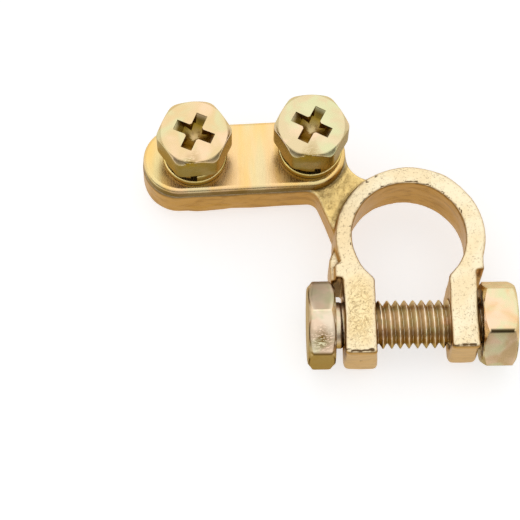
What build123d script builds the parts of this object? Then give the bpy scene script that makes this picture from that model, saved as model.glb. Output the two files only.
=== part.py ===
"""Battery terminal clamp for a tapered battery post.

A brass casting is a split ring with two lugs, and a flat tongue beside it. A hex bolt and nut
draw the lugs together on the post. A steel plate, held by two hex screws with a spring washer
and a flat washer each, presses the cable's end on the tongue.

Frame, in millimetres: the origin is on the axis of the post bore, at the ring's underside.
+Z points up along the bore, +X along the clamp bolt towards the nut, and -Y from the bore
towards the lugs.
"""
from build123d import *
import math
import os

# Ring and bore
bore_top_radius = 9.32
post_taper = 1 / 9
ring_wall_radius = 12.3
ring_wall_shift = 0.25
casting_draft = 2.0
casting_edge = 0.4
underside_edge = 0.3

# Lugs, the gap between them and the bolt's seats
gap_left = 5.9
gap_right = 6.2
gap_left_draft = 3.0
gap_right_draft = 1.0
gap_mouth_fillet = 0.9
lug_left_thickness = 5.15
lug_right_thickness = 4.5
lug_left_margin = 6.43
lug_right_margin = 5.63
lug_toe_fillet = 1.6
lug_wall = 0.65
shoulder_reach = 12.0
shoulder_front = 6.1
seat_fillet = 0.3

# Clamp bolt and nut
bolt_radius = 3.95
bolt_hole_clearance = 0.2
bolt_axis_forward = 13.82
bolt_hex_flats = 12.7
bolt_head_height = 4.5
bolt_head_gap = 1.35
bolt_end_proud = 0.15
bolt_end_chamfer = 0.9
nut_hex_flats = 12.7
nut_height = 5.6
nut_gap = 0.6
nut_turn = 30
nut_mouth_chamfer = 0.45
bolt_thread_clearance = 0.05
hex_chamfer_angle = 30

# Cheek and ear beside the bolt's head, which keep it from turning
cheek_proud = 0.75
cheek_back = 3.0
cheek_lap = 1.5
cheek_slope = 6.3
cheek_height = 7.4
cheek_clearance = 0.2
cheek_edge = 0.4
cheek_ledge = 0.75
ear_length = 2.4

# Tongue and neck
tongue_root_x = -15.86
tongue_root_y = 15.55
tongue_angle = 2.4
tongue_length = 34.1
tongue_width = 12.4
tongue_underside = 0.6
tongue_drop = 3.0
tongue_edge = 0.6
tongue_top_edge = 0.4
neck_back_radius = 4.4
neck_foot_y = -2.0
neck_front_along = 0.46
neck_front_lap = 0.65
neck_foot_lap = 1.2
neck_bow = 0.3
neck_corner_fillet = 2.0

# Cable plate
plate_end_inset = 0.2
plate_side_inset = 0.1
plate_thickness = 2.1
plate_top_edge = 0.8
plate_bottom_edge = 0.2
plate_hole_clearance = 0.3

# Cable screws
screw_radius = 3.1
screw_thread_clearance = 0.05
screw_tip_height = 1.0
screw_tip_chamfer = 0.6
screw_left_inset = 2.67
screw_left_aside = 0.3
screw_right_inset = -0.13
screw_right_aside = 0.5
screw_hex_flats = 11.1
screw_corner_radius = 6.15
screw_head_height = 5.4
screw_left_turn = 4.7
screw_right_turn = 0.5
recess_turn = 61.7
recess_reach = 3.3
recess_arm_width = 1.4
recess_depth = 2.9
recess_core_radius = 1.75

# Washers under the cable screws
flat_washer_radius = 5.35
flat_washer_thickness = 1.2
flat_washer_edge = 0.25
washer_hole_clearance = 0.25
spring_washer_radius = 5.2
spring_washer_thickness = 1.7
spring_washer_rise = 1.15
spring_washer_slit = 12
spring_washer_left_turn = -92
spring_washer_right_turn = -78
washer_play = 0.02

# Heights and places that follow from the sizes above
bolt_hole_radius = bolt_radius + bolt_hole_clearance
ring_height = 2 * (bolt_hole_radius + lug_wall)
bolt_height = ring_height / 2
cheek_reach = ring_wall_radius + cheek_proud
ear_reach = cheek_reach - cheek_ledge
lug_left_front = bolt_axis_forward + lug_left_margin
lug_right_front = bolt_axis_forward + lug_right_margin
lug_left_face = -(gap_left + lug_left_thickness)
lug_right_face = gap_right + lug_right_thickness
bolt_head_face = lug_left_face - bolt_head_gap
nut_face = lug_right_face + nut_gap
bolt_end = nut_face + nut_height + bolt_end_proud
cheek_face = -(bolt_axis_forward - bolt_hex_flats / 2 - cheek_clearance)
tongue_arm = (tongue_length - tongue_width) / 2
tongue_top = ring_height - tongue_drop
tongue_thickness = tongue_top - tongue_underside
plate_top = tongue_top + plate_thickness
spring_washer_seat = plate_top + flat_washer_thickness + washer_play
spring_washer_height = spring_washer_thickness + spring_washer_rise
screw_head_seat = spring_washer_seat + spring_washer_height + washer_play
washer_hole_radius = screw_radius + washer_hole_clearance


def slab(corners, low, high):
    """Upright block on this outline of (x, y) corners."""
    outline = make_face(Polyline(*corners, close=True))
    return extrude(Pos(0, 0, low) * outline, high - low)


def upright_edges(shape, x, y, reach):
    """Edges of a shape that pass this place from its underside to its top."""
    near = Vector(x, y, 0)
    picked = []
    for edge in shape.edges():
        middle = edge.center()
        rise = abs((edge @ 1).Z - (edge @ 0).Z)
        if (Vector(middle.X, middle.Y, 0) - near).length < reach and rise > ring_height / 3:
            picked.append(edge)
    return picked


def level_edges(shape, height):
    """Edges of a shape that lie at this height, without those of holes and of the ring's seam."""
    hub = Vector(ring_wall_shift, 0, height)
    picked = []
    for edge in shape.edges():
        ends = (edge @ 0, edge @ 0.5, edge @ 1)
        if any(abs(end.Z - height) > 0.001 for end in ends):
            continue
        if edge.geom_type == GeomType.CIRCLE and height not in (0, ring_height):
            if edge.radius < bolt_radius or (edge.arc_center - hub).length < 0.01:
                continue
        picked.append(edge)
    return picked


def hex_blank(flats, corner_radius, height, chamfer_low, chamfer_high):
    """Hex on the XY plane with flats facing -Y and +Y, its ends chamfered as if turned."""
    prism = extrude(RegularPolygon(flats / 2, 6, major_radius=False), height)
    land = 0.98 * flats / 2
    drop = (corner_radius - land) * math.tan(math.radians(hex_chamfer_angle))
    low = drop if chamfer_low else 0
    high = drop if chamfer_high else 0
    profile = Polyline(
        (0, 0),
        (land if chamfer_low else corner_radius, 0),
        (corner_radius, low + 0.001),
        (corner_radius, height - high - 0.001),
        (land if chamfer_high else corner_radius, height),
        (0, height),
        close=True,
    )
    return prism & revolve(make_face(Plane.XZ * profile), Axis.Z)


def tongue_place(height):
    """Place on the tongue's centre, turned along it."""
    root = Pos(tongue_root_x, tongue_root_y, height) * Rot(0, 0, tongue_angle)
    return root * Pos(-tongue_arm, 0, 0)


def screw_place(side, height):
    """Place on a cable screw's axis: side is -1 for the left screw and 1 for the right one."""
    inset = screw_left_inset if side < 0 else screw_right_inset
    aside = screw_left_aside if side < 0 else screw_right_aside
    along = side * (tongue_arm - inset)
    return tongue_place(height) * Pos(along, aside, 0) * Rot(0, 0, -tongue_angle)


def ring():
    """Ring's wall as a solid disc that leans in towards the top."""
    lean = ring_height * math.tan(math.radians(casting_draft))
    profile = Polyline(
        (0, 0),
        (ring_wall_radius + lean, 0),
        (ring_wall_radius, ring_height),
        (0, ring_height),
        close=True,
    )
    return Pos(ring_wall_shift, 0, 0) * revolve(make_face(Plane.XZ * profile), Axis.Z)


def lug(face, front):
    """One lug from the gap's middle out to its outer face, rounded under its front."""
    block = slab([(0, -front), (face, -front), (face, -1), (0, -1)], 0, ring_height)
    toe = block.edges().group_by(Axis.Z)[0].sort_by(Axis.Y)[0]
    return fillet(toe, lug_toe_fillet)


def lugs():
    """Both lugs, and the shoulder that stands beside the nut."""
    shoulder = slab(
        [
            (0, -shoulder_front),
            (shoulder_reach, -shoulder_front),
            (shoulder_reach, -1),
            (0, -1),
        ],
        0,
        ring_height,
    )
    left = lug(lug_left_face, lug_left_front)
    right = lug(lug_right_face, lug_right_front)
    return left + right + shoulder


def cheek():
    """Wall beside the bolt's head, with the ear that rises from it to the ring's top."""
    wall = slab(
        [
            (lug_left_face + 1, cheek_back),
            (-ring_wall_radius + cheek_lap, cheek_back),
            (-cheek_reach, cheek_back - cheek_slope),
            (-cheek_reach, cheek_face),
            (lug_left_face + 1, cheek_face),
        ],
        0,
        cheek_height,
    )
    ear = slab(
        [
            (lug_left_face + 1, cheek_face + ear_length + 1),
            (-ear_reach, cheek_face + ear_length),
            (-ear_reach, cheek_face),
            (lug_left_face + 1, cheek_face),
        ],
        0,
        ring_height,
    )
    return wall + ear


def tongue():
    """Tongue's block."""
    outline = SlotOverall(tongue_length, tongue_width)
    return extrude(tongue_place(tongue_underside) * outline, tongue_thickness)


def neck():
    """Web between the ring and the tongue, with the round hollow at its back."""
    end = Vector(tongue_root_x, tongue_root_y)
    hub = Vector(ring_wall_shift, 0)
    to_end = tongue_width / 2 + neck_back_radius
    to_hub = ring_wall_radius + neck_back_radius
    span = hub - end
    along = (to_end**2 - to_hub**2 + span.length**2) / (2 * span.length)
    aside = math.sqrt(to_end**2 - along**2)
    ahead = span.normalized()
    hollow = end + ahead * along + Vector(-ahead.Y, ahead.X) * aside
    from_end = hollow + (end - hollow).normalized() * neck_back_radius
    from_hub = hollow + (hub - hollow).normalized() * neck_back_radius
    inward = ((end - hollow).normalized() + (hub - hollow).normalized()).normalized()
    back = ThreePointArc(from_end, hollow + inward * neck_back_radius, from_hub)
    front_low = Vector(-ring_wall_radius + neck_foot_lap, neck_foot_y)
    front_high = end + Vector(neck_front_along, neck_front_lap - tongue_width / 2)
    middle = (front_low + front_high) * 0.5 + Vector(neck_bow, 0)
    front = ThreePointArc(front_low, middle, front_high)
    sides = [
        back,
        Polyline(from_hub, hub + (from_hub - hub) * 0.7, hub + (front_low - hub) * 0.7, front_low),
        front,
        Polyline(front_high, end, from_end),
    ]
    return extrude(Pos(0, 0, tongue_underside) * make_face(sides), tongue_thickness)


def bore_cutter():
    """Taper of the battery post, wider at the ring's underside."""
    slope = post_taper / 2
    low = bore_top_radius + slope * (ring_height + 2)
    high = bore_top_radius - slope * 2
    profile = Polyline((0, -2), (low, -2), (high, ring_height + 2), (0, ring_height + 2), close=True)
    return revolve(make_face(Plane.XZ * profile), Axis.Z)


def gap_cutter():
    """Gap between the lugs, with its two faces drafted."""
    left = ring_height * math.tan(math.radians(gap_left_draft))
    right = ring_height * math.tan(math.radians(gap_right_draft))
    section = Polyline(
        (-gap_left + 1.2 * left, -0.2 * ring_height),
        (gap_right - 1.2 * right, -0.2 * ring_height),
        (gap_right + 0.2 * right, 1.2 * ring_height),
        (-gap_left - 0.2 * left, 1.2 * ring_height),
        close=True,
    )
    face = make_face(Plane.XZ.offset(bore_top_radius * 0.6) * section)
    return extrude(face, lug_left_front)


def seat_cutter(face, back):
    """Room for the bolt's head or the nut, beside a lug's outer face."""
    far = math.copysign(2 * ring_wall_radius, face)
    front = -2 * lug_left_front
    return slab([(face, front), (far, front), (far, back), (face, back)], -1, ring_height + 1)


def clamp_body():
    """Brass casting: split ring, lugs, cheek, neck and tongue in one piece."""
    body = ring() + lugs() + cheek() + tongue() + neck()
    body -= bore_cutter() + gap_cutter()
    body -= seat_cutter(lug_left_face, cheek_face)
    body -= seat_cutter(lug_right_face, -shoulder_front)
    for side, gap, draft in ((-1, gap_left, gap_left_draft), (1, gap_right, gap_right_draft)):
        middle_gap = gap - ring_height / 2 * math.tan(math.radians(draft))
        middle_bore = bore_top_radius + ring_height / 2 * post_taper / 2
        mouth = -math.sqrt(middle_bore**2 - middle_gap**2)
        body = fillet(upright_edges(body, side * middle_gap, mouth, 0.3), gap_mouth_fillet)
    body = fillet(upright_edges(body, lug_left_face, cheek_face, 0.1), seat_fillet)
    body = fillet(upright_edges(body, lug_right_face, -shoulder_front, 0.1), seat_fillet)
    corner_x = tongue_root_x + neck_front_along
    corner_y = tongue_root_y - tongue_width / 2
    body = fillet(upright_edges(body, corner_x, corner_y, 0.8), neck_corner_fillet)
    body = fillet(level_edges(body, tongue_underside), tongue_edge)
    rim = [edge for edge in level_edges(body, tongue_top) if edge.length > tongue_edge]
    body = fillet(rim, tongue_top_edge)
    ledge = [edge for edge in level_edges(body, cheek_height) if (edge @ 0.5).X < -ear_reach]
    body = fillet(ledge, cheek_edge)
    body = fillet(level_edges(body, ring_height), casting_edge)
    body = fillet(level_edges(body, 0), underside_edge)
    hole = Rot(0, 90, 0) * Cylinder(bolt_hole_radius, 4 * ring_wall_radius)
    body -= Pos(0, -bolt_axis_forward, bolt_height) * hole
    tapped = Cylinder(screw_radius + screw_thread_clearance, 4 * tongue_thickness)
    for side in (-1, 1):
        body -= screw_place(side, tongue_top) * tapped
    return body


def cable_plate():
    """Steel plate on the tongue, with its top edge rounded over."""
    outline = SlotOverall(tongue_length - 2 * plate_end_inset, tongue_width - 2 * plate_side_inset)
    plate = extrude(tongue_place(tongue_top) * outline, plate_thickness)
    plate = fillet(plate.edges().group_by(Axis.Z)[-1], plate_top_edge)
    plate = fillet(plate.edges().group_by(Axis.Z)[0], plate_bottom_edge)
    hole = Cylinder(screw_radius + plate_hole_clearance, 4 * plate_thickness)
    for side in (-1, 1):
        plate -= screw_place(side, tongue_top) * hole
    return plate


def recess_cutter():
    """Cross recess, with its top at height 0: four arms that slope in, and a core."""
    arm = Polyline(
        (0, 0.5),
        (recess_reach + 0.1, 0.5),
        (recess_reach, 0),
        (recess_reach * 0.62, -0.8 * recess_depth),
        (0, -recess_depth),
        close=True,
    )
    blade = extrude(make_face(Plane.XZ * arm), recess_arm_width / 2, both=True)
    core = Cone(
        recess_core_radius * 0.35,
        recess_core_radius,
        recess_depth,
        align=(Align.CENTER, Align.CENTER, Align.MAX),
    )
    cutter = core
    for quarter in range(4):
        cutter += Rot(0, 0, 90 * quarter) * blade
    return cutter


def cable_screw():
    """Hex screw with a cross recess: the head's seat at height 0, the thread below it."""
    head = hex_blank(screw_hex_flats, screw_corner_radius, screw_head_height, False, True)
    head -= Pos(0, 0, screw_head_height) * Rot(0, 0, recess_turn) * recess_cutter()
    shank_length = screw_head_seat - screw_tip_height
    shank = Cylinder(
        screw_radius, shank_length + 0.5, align=(Align.CENTER, Align.CENTER, Align.MIN)
    )
    shank = chamfer(shank.edges().group_by(Axis.Z)[0], screw_tip_chamfer)
    return head + Pos(0, 0, -shank_length) * shank


def flat_washer():
    """Flat washer, lying on height 0."""
    disc = Cylinder(
        flat_washer_radius,
        flat_washer_thickness,
        align=(Align.CENTER, Align.CENTER, Align.MIN),
    )
    disc = fillet(disc.edges().filter_by(GeomType.CIRCLE), flat_washer_edge)
    return disc - Cylinder(washer_hole_radius, 4 * flat_washer_thickness)


def spring_washer():
    """Split washer wound as a helix, its lower end on height 0 and its slit towards +X."""
    middle_radius = (washer_hole_radius + spring_washer_radius) / 2
    width = spring_washer_radius - washer_hole_radius
    turn = (360 - spring_washer_slit) / 360
    path = Helix(spring_washer_rise / turn, spring_washer_rise, middle_radius)
    start = Plane(origin=path @ 0, x_dir=(1, 0, 0), z_dir=path % 0)
    coil = sweep(start * Rectangle(width, spring_washer_thickness), path, is_frenet=True)
    return Pos(0, 0, spring_washer_thickness / 2) * Rot(0, 0, spring_washer_slit / 2) * coil


def clamp_bolt():
    """Hex bolt along +X, with flats facing -Y and +Y."""
    head = hex_blank(bolt_hex_flats, bolt_hex_flats / math.sqrt(3), bolt_head_height, True, True)
    length = bolt_end - bolt_head_face
    shank = Cylinder(bolt_radius, length + 1, align=(Align.CENTER, Align.CENTER, Align.MAX))
    shank = chamfer(shank.edges().group_by(Axis.Z)[0], bolt_end_chamfer)
    bolt = head + Pos(0, 0, 1) * shank
    return Pos(bolt_head_face, -bolt_axis_forward, bolt_height) * Rot(0, -90, 0) * bolt


def clamp_nut():
    """Hex nut along +X, with one flat upwards."""
    nut = hex_blank(nut_hex_flats, nut_hex_flats / math.sqrt(3), nut_height, True, True)
    nut -= Cylinder(bolt_radius + bolt_thread_clearance, 4 * nut_height)
    mouths = nut.edges().filter_by(GeomType.CIRCLE)
    mouths = [edge for edge in mouths if edge.radius < bolt_radius + 0.5]
    nut = chamfer(mouths, nut_mouth_chamfer)
    place = Pos(nut_face, -bolt_axis_forward, bolt_height) * Rot(0, 90, 0)
    return place * Rot(0, 0, nut_turn) * nut


pieces = {
    "clamp_body": clamp_body(),
    "cable_plate": cable_plate(),
    "clamp_bolt": clamp_bolt(),
    "clamp_nut": clamp_nut(),
}
sides = {
    "left": (-1, screw_left_turn, spring_washer_left_turn),
    "right": (1, screw_right_turn, spring_washer_right_turn),
}
for name, (side, screw_turn, washer_turn) in sides.items():
    seat = screw_place(side, screw_head_seat) * Rot(0, 0, screw_turn)
    pieces["cable_screw_" + name] = seat * cable_screw()
    pieces["flat_washer_" + name] = screw_place(side, plate_top) * flat_washer()
    coil_place = screw_place(side, spring_washer_seat) * Rot(0, 0, washer_turn)
    pieces["spring_washer_" + name] = coil_place * spring_washer()

os.makedirs("parts", exist_ok=True)
for name, shape in pieces.items():
    export_step(shape, "parts/" + name + ".step")
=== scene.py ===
"""Battery terminal clamp: brass casting, cable plate, recessed screws, clamp bolt and nut."""

import math

import bmesh
import bpy
import numpy as np
from bpy.props import FloatProperty, FloatVectorProperty, PointerProperty
from mathutils import Matrix, Vector


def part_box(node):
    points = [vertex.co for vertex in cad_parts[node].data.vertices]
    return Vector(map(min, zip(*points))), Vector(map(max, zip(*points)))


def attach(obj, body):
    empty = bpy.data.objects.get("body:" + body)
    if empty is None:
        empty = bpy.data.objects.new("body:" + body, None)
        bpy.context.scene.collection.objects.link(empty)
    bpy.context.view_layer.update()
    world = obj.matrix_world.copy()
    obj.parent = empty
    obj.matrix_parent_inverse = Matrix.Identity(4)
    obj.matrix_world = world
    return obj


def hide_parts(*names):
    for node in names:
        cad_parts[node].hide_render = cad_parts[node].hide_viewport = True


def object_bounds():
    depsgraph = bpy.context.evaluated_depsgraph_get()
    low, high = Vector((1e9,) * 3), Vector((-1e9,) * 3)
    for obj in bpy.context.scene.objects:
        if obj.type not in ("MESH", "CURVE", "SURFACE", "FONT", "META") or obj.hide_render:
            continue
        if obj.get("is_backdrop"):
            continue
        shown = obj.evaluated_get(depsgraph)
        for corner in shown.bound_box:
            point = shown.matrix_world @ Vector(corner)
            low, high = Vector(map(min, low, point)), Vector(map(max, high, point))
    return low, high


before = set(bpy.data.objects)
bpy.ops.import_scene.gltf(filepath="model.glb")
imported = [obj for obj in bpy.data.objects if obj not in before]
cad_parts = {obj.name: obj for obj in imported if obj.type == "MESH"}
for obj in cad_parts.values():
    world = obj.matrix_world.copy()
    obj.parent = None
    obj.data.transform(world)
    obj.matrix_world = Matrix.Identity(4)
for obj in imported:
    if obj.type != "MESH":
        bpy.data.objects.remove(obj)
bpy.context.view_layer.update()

bl_info = {
    "name": "Battery terminal clamp",
    "version": (1, 0, 0),
    "blender": (4, 5, 0),
    "location": "View3D > Sidebar > Terminal clamp",
    "description": "Dresses the terminal clamp's casting, screws, washers, bolt and nut",
    "category": "Object",
}

MM = 0.001
TURN = 2.0 * math.pi
SIXTH = math.radians(60)
QUARTER = math.radians(90)
# Shares that the threads and the heads have in common: the thread's depth in pitches, the
# plain shank's radius in thread radii, and the radius of a head's flat face in half flats
THREAD_DEPTH = 0.61
PLAIN_SHARE = 0.96
LAND_SHARE = 0.98
# Edges above this angle, in degrees, stay sharp on the screws, the bolt and the nut
SHARP_ANGLE = 32
# Half the width of a painted dark line of shade along a hex's edge, as an angle round the axis
LINE_HALF = math.radians(1.5)
# How deep the casting's cracks are, and how high its flash step
CRACK_DEPTH = 0.16 * MM
FLASH_HEIGHT = 0.16 * MM
# The screws' crown, and how their heads, recesses and washers' slits are turned, in degrees
SCREW_CROWN = 46
HEX_TURNS = (("left", 4.7), ("right", 0.5))
RECESS_TURN = 61.7
SLIT_TURNS = (("left", -92), ("right", -78))
# Small scars on the casting: place and reach, in metres
SCARS = (
    ((-0.0066, 0.0098, 0.0096), (0.0009, 0.0006, 0.0006)),
    ((-0.0052, 0.0107, 0.0096), (0.0007, 0.0004, 0.0006)),
    ((-0.0083, -0.0195, 0.0052), (0.0004, 0.0020, 0.0008)),
)
# Lamps: name, share of the overhead lamp's power, size and place; all aim at one point
LAMPS = (
    ("Overhead", 1.0, 0.85, (-0.06, 0.16, 0.55)),
    ("Front_fill", 0.15, 0.3, (0.25, -0.5, 0.25)),
    ("Left_fill", 0.3, 0.3, (-0.5, -0.1, 0.25)),
)
LAMP_AIM = (-0.02, 0, 0)
# What each plated piece changes in the shared plating
# Here and below, side is the colour of the upright faces, painted darker as shade
PLATE_LOOK = {
    "top": (0.89, 0.59, 0.21), "side": (0.17, 0.09, 0.022), "stretch": (1, 0.15, 1), "film": 0.45,
}
WASHER_LOOK = {"top": (0.80, 0.61, 0.20), "side": (0.28, 0.175, 0.03), "film": 0.2, "size": 0.8}
# Painted shade in the screws' recesses and thread roots; the screws' scuffs take the same colour
SCREW_SHADE_AND_SCRATCH = (0.27, 0.165, 0.006)
SCREW_LOOKS = {
    "left": {"top": (0.76, 0.57, 0.30), "size": 1.2, "film": 0.6, "deep": SCREW_SHADE_AND_SCRATCH},
    "right": {
        "top": (0.73, 0.59, 0.35), "size": 1.0, "film": 0.75, "offset": (0.013, 0.047, 0),
        "deep": SCREW_SHADE_AND_SCRATCH,
    },
}
# The bolt's dark colour is painted shade on its head's chamfers, back, lowest facet and edge line
# and in its thread's roots; its scuff takes the same colour
BOLT_LOOK = {
    "top": (1.0, 0.84, 0.64), "side": (0.60, 0.38, 0.10), "film": 0.6, "size": 0.9,
    "rough": 0.34, "deep": (0.19, 0.10, 0.008),
}
# The nut's near-black colour is a painted dark line of shade along one hex edge; its underside gets
# no painted shadow
NUT_LOOK = {
    "top": (0.80, 0.54, 0.28), "side": (0.30, 0.23, 0.10), "film": 0.85, "underside": 1.0,
    "deep": (0.03, 0.018, 0.003),
}


# Sizes and colours that a user would change

def length(name, description, default):
    """Length property in metres, from a default in millimetres."""
    return FloatProperty(
        name=name, description=description, default=default * MM, subtype="DISTANCE", unit="LENGTH"
    )


def spot(name, description, default):
    """Place or reach in metres, from a default in millimetres."""
    return FloatVectorProperty(
        name=name, description=description, default=[MM * value for value in default],
        subtype="XYZ", unit="LENGTH", size=3,
    )


def angle(name, description, degrees):
    """Angle property, from a default in degrees."""
    return FloatProperty(
        name=name, description=description, default=math.radians(degrees), subtype="ANGLE",
        unit="ROTATION",
    )


def tint(name, description, default):
    """Colour property."""
    return FloatVectorProperty(
        name=name, description=description, default=default, subtype="COLOR", size=3, min=0, max=1
    )


class CastingSettings(bpy.types.PropertyGroup):
    """Sizes and colours of the brass casting."""

    voxel: length("Skin cell", "Size of the cells that the casting's skin is made of", 0.27)
    lumps: length("Lumps", "Height of the casting's slow waves", 0.05)
    sand: length("Sand", "Height of the sand's mark on the faces that look up", 0.03)
    folds: length("Folds", "Depth of the folds on the neck and on the left lug", 0.05)
    lump_place: spot("Lump", "Middle of the rough patch on the left lug", (-8.6, -13.2, 9.6))
    lump_reach: spot("Lump reach", "Reach of the rough patch", (3.4, 6.6, 2.0))
    flash_place: spot("Flash", "Middle of the flash step on the tongue", (-32.6, 8.6, 3.0))
    flash_reach: spot("Flash reach", "Reach of the flash step", (3.4, 1.5, 3.6))
    # Painted shade: the pocket between the bolt's head and the lug is darkened in colour
    pocket_shade_place: spot("Pocket", "Middle of the dark pocket beside the ear", (-11.8, -6.6, 3.5))
    pocket_shade_reach: spot("Pocket reach", "Reach of the dark pocket", (0.9, 2.2, 5.5))
    warm_place: spot("Warm side", "Middle of the ring's warmer side", (-11, 1, 9.6))
    warm_reach: spot("Warm side's reach", "Reach of the warmer side", (6, 10, 3))
    top_color: tint("Sandy faces", "Brass of the sandy faces", (0.95, 0.83, 0.58))
    warm_color: tint("Warm patches", "Warmer brass in slow patches", (0.89, 0.70, 0.41))
    neck_color: tint("Crinkled faces", "Brass of the crinkled neck", (1.0, 0.73, 0.26))
    # Painted shade: faces that don't look up take this darker brown in place of the sandy colour
    shaded_wall_color: tint("Walls", "Brass of the drafted walls", (0.48, 0.26, 0.065))
    streak_color: tint("Wall streaks", "Darker brass in the walls' streaks", (0.24, 0.105, 0.018))
    # Painted shade in concave corners, under the plate's edge, at the ring's foot and in the
    # pocket, and the dark of the cracks
    shade_and_crack_color: tint("Pits", "Dark brass in pits and corners", (0.10, 0.05, 0.014))


class ThreadSettings(bpy.types.PropertyGroup):
    """Sizes of the clamp bolt, its thread and the nut."""

    radius: length("Thread radius", "Outer radius of the clamp bolt's thread", 3.95)
    pitch: length("Thread pitch", "Rise of the clamp bolt's thread in one turn", 1.411)
    flats: length("Across flats", "Width of the bolt's head across its flats", 12.7)
    nut_flats: length("Nut across flats", "Width of the nut across its flats", 12.7)
    head: length("Head height", "Height of the bolt's head", 4.5)
    rounding: length("Corner rounding", "Radius of the rounded hex corners", 0.3)
    phase: FloatProperty(
        name="Thread phase", description="Share of a turn that the thread is shifted by",
        default=0.0, min=0, max=1, subtype="FACTOR",
    )


class ScrewSettings(bpy.types.PropertyGroup):
    """Sizes of the cable screws."""

    radius: length("Thread radius", "Outer radius of the screw's thread", 3.1)
    pitch: length("Thread pitch", "Rise of the screw's thread in one turn", 1.27)
    flats: length("Across flats", "Width of the head across its flats", 11.1)
    head: length("Head height", "Height of the screw's head", 5.4)
    rounding: length("Corner rounding", "Radius of the rounded hex corners", 1.6)
    reach: length("Recess reach", "Distance from the axis to the end of a recess arm", 3.3)
    arm: length("Recess arm width", "Width of a recess arm", 1.85)
    core: length("Recess core", "Radius of the recess's core at the top", 1.5)
    depth: length("Recess depth", "Depth of the recess at its middle", 2.9)


class WasherSettings(bpy.types.PropertyGroup):
    """Sizes of the split spring washers."""

    inner: length("Inner radius", "Radius of the spring washer's hole", 3.35)
    outer: length("Outer radius", "Outer radius of the spring washer", 5.2)
    thickness: length("Thickness", "Thickness of the wire", 1.7)
    slit: angle("Slit", "Angle of the slit between the washer's ends", 12)


class PlatingSettings(bpy.types.PropertyGroup):
    """Colours of the yellow zinc plating."""

    top: tint("Upper faces", "Plating on the faces that look up", (0.90, 0.78, 0.50))
    # Painted shade: the upright faces take this darker colour in place of the upper one
    side: tint("Sides", "Olive plating on the upright faces", (0.28, 0.18, 0.035))
    pink: tint("Pink", "Pink sheen of the plating", (0.94, 0.67, 0.47))
    green: tint("Green", "Green sheen of the plating", (0.68, 0.70, 0.40))
    # Painted shade in recesses, thread roots, chamfers and along hex edges; the scuffs take the
    # same colour
    deep: tint("Deep", "Dark olive in recesses and valleys", (0.13, 0.08, 0.01))


class StageSettings(bpy.types.PropertyGroup):
    """Camera, floor and lamps."""

    azimuth: angle("Azimuth", "Camera's angle round the object", -2.33)
    elevation: angle("Elevation", "Camera's height angle", 68.01)
    roll: angle("Roll", "Camera's turn about its own view", 1.41)
    distance: length("Distance", "Camera's distance from the aimed point", 341.36)
    aim_x: length("Aim X", "Aimed point along X", -24.29)
    aim_y: length("Aim Y", "Aimed point along Y", -0.2)
    focal: FloatProperty(
        name="Focal length", description="Focal length on a 36 mm sensor", default=140.98,
        subtype="DISTANCE_CAMERA", unit="CAMERA",
    )
    overhead: FloatProperty(
        name="Overhead lamp", description="Power of the overhead soft lamp", default=0.5,
        subtype="POWER", unit="POWER",
    )


# Surfaces

def add_object(name, data):
    """New object in the scene, from its data."""
    made = bpy.data.objects.new(name, data)
    bpy.context.scene.collection.objects.link(made)
    return made


def mesh_object(name, points, quads, tris=()):
    """New mesh object from an array of points, an array of quads and one of triangles."""
    mesh = bpy.data.meshes.new(name)
    tris = np.asarray(tris, dtype=np.int64).reshape(-1, 3)
    quads = np.asarray(quads, dtype=np.int64).reshape(-1, 4)
    corners = np.concatenate([quads.ravel(), tris.ravel()])
    sizes = np.concatenate([np.full(len(quads), 4), np.full(len(tris), 3)])
    starts = np.concatenate([[0], np.cumsum(sizes)[:-1]])
    mesh.vertices.add(len(points))
    mesh.vertices.foreach_set("co", np.asarray(points, np.float32).ravel())
    mesh.loops.add(len(corners))
    mesh.loops.foreach_set("vertex_index", corners.astype(np.int32))
    mesh.polygons.add(len(sizes))
    mesh.polygons.foreach_set("loop_start", starts.astype(np.int32))
    mesh.update(calc_edges=True)
    mesh.validate()
    mesh.polygons.foreach_set("use_smooth", np.ones(len(mesh.polygons), bool))
    return add_object(name, mesh)


def mark(made, **layers):
    """Gives a mesh one value per point for each named attribute."""
    for label, values in layers.items():
        layer = made.data.attributes.new(label, "FLOAT", "POINT")
        layer.data.foreach_set("value", np.asarray(values, np.float32))


def per_point(values):
    """Rows by angles of values, in the order of a spun surface's points."""
    return np.concatenate([values[0, :1], values[1:-1].ravel(), values[-1, :1]])


def near(points, middle, reach):
    """One close to a place, falling evenly to nothing at 1.2 of these reaches in X, Y and Z."""
    off = (points - np.asarray(middle)) / np.asarray(reach)
    return np.clip(1.2 - np.linalg.norm(off, axis=1), 0, 1)


def ramp(values, start, width):
    """Nothing at start and one a width further on; a negative width runs the other way."""
    return np.clip((values - start) / width, 0, 1)


def band(off, width, peak):
    """The peak's height less one for each width off, between nothing and one."""
    return np.clip(peak - np.abs(off) / width, 0, 1)


def face_outwards(made):
    """Recalculates the normals of a closed shell so that they point out of it."""
    shell = bmesh.new()
    shell.from_mesh(made.data)
    bmesh.ops.recalc_face_normals(shell, faces=shell.faces)
    shell.to_mesh(made.data)
    shell.free()


def sharpen(made, degrees=SHARP_ANGLE):
    """Keeps a mesh's edges above this angle sharp, in degrees."""
    made.data.set_sharp_from_angle(angle=math.radians(degrees))


def place(points, origin, z_axis, x_axis):
    """Points turned so that their Z and X run along two given directions, then moved."""
    z_axis = np.asarray(z_axis, float)
    x_axis = np.asarray(x_axis, float)
    turn = np.stack([x_axis, np.cross(z_axis, x_axis), z_axis], axis=0)
    return points @ turn + np.asarray(origin, float)


def grid_quads(index, wrap=False):
    """Quads of a grid of point numbers, closed round its columns. Where wrap is set, the last
    row joins the first."""
    after = np.roll(index, -1, axis=1)
    quads = np.stack(
        [index, after, np.roll(after, -1, axis=0), np.roll(index, -1, axis=0)], axis=-1
    )
    return (quads if wrap else quads[:-1]).reshape(-1, 4)


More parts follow.
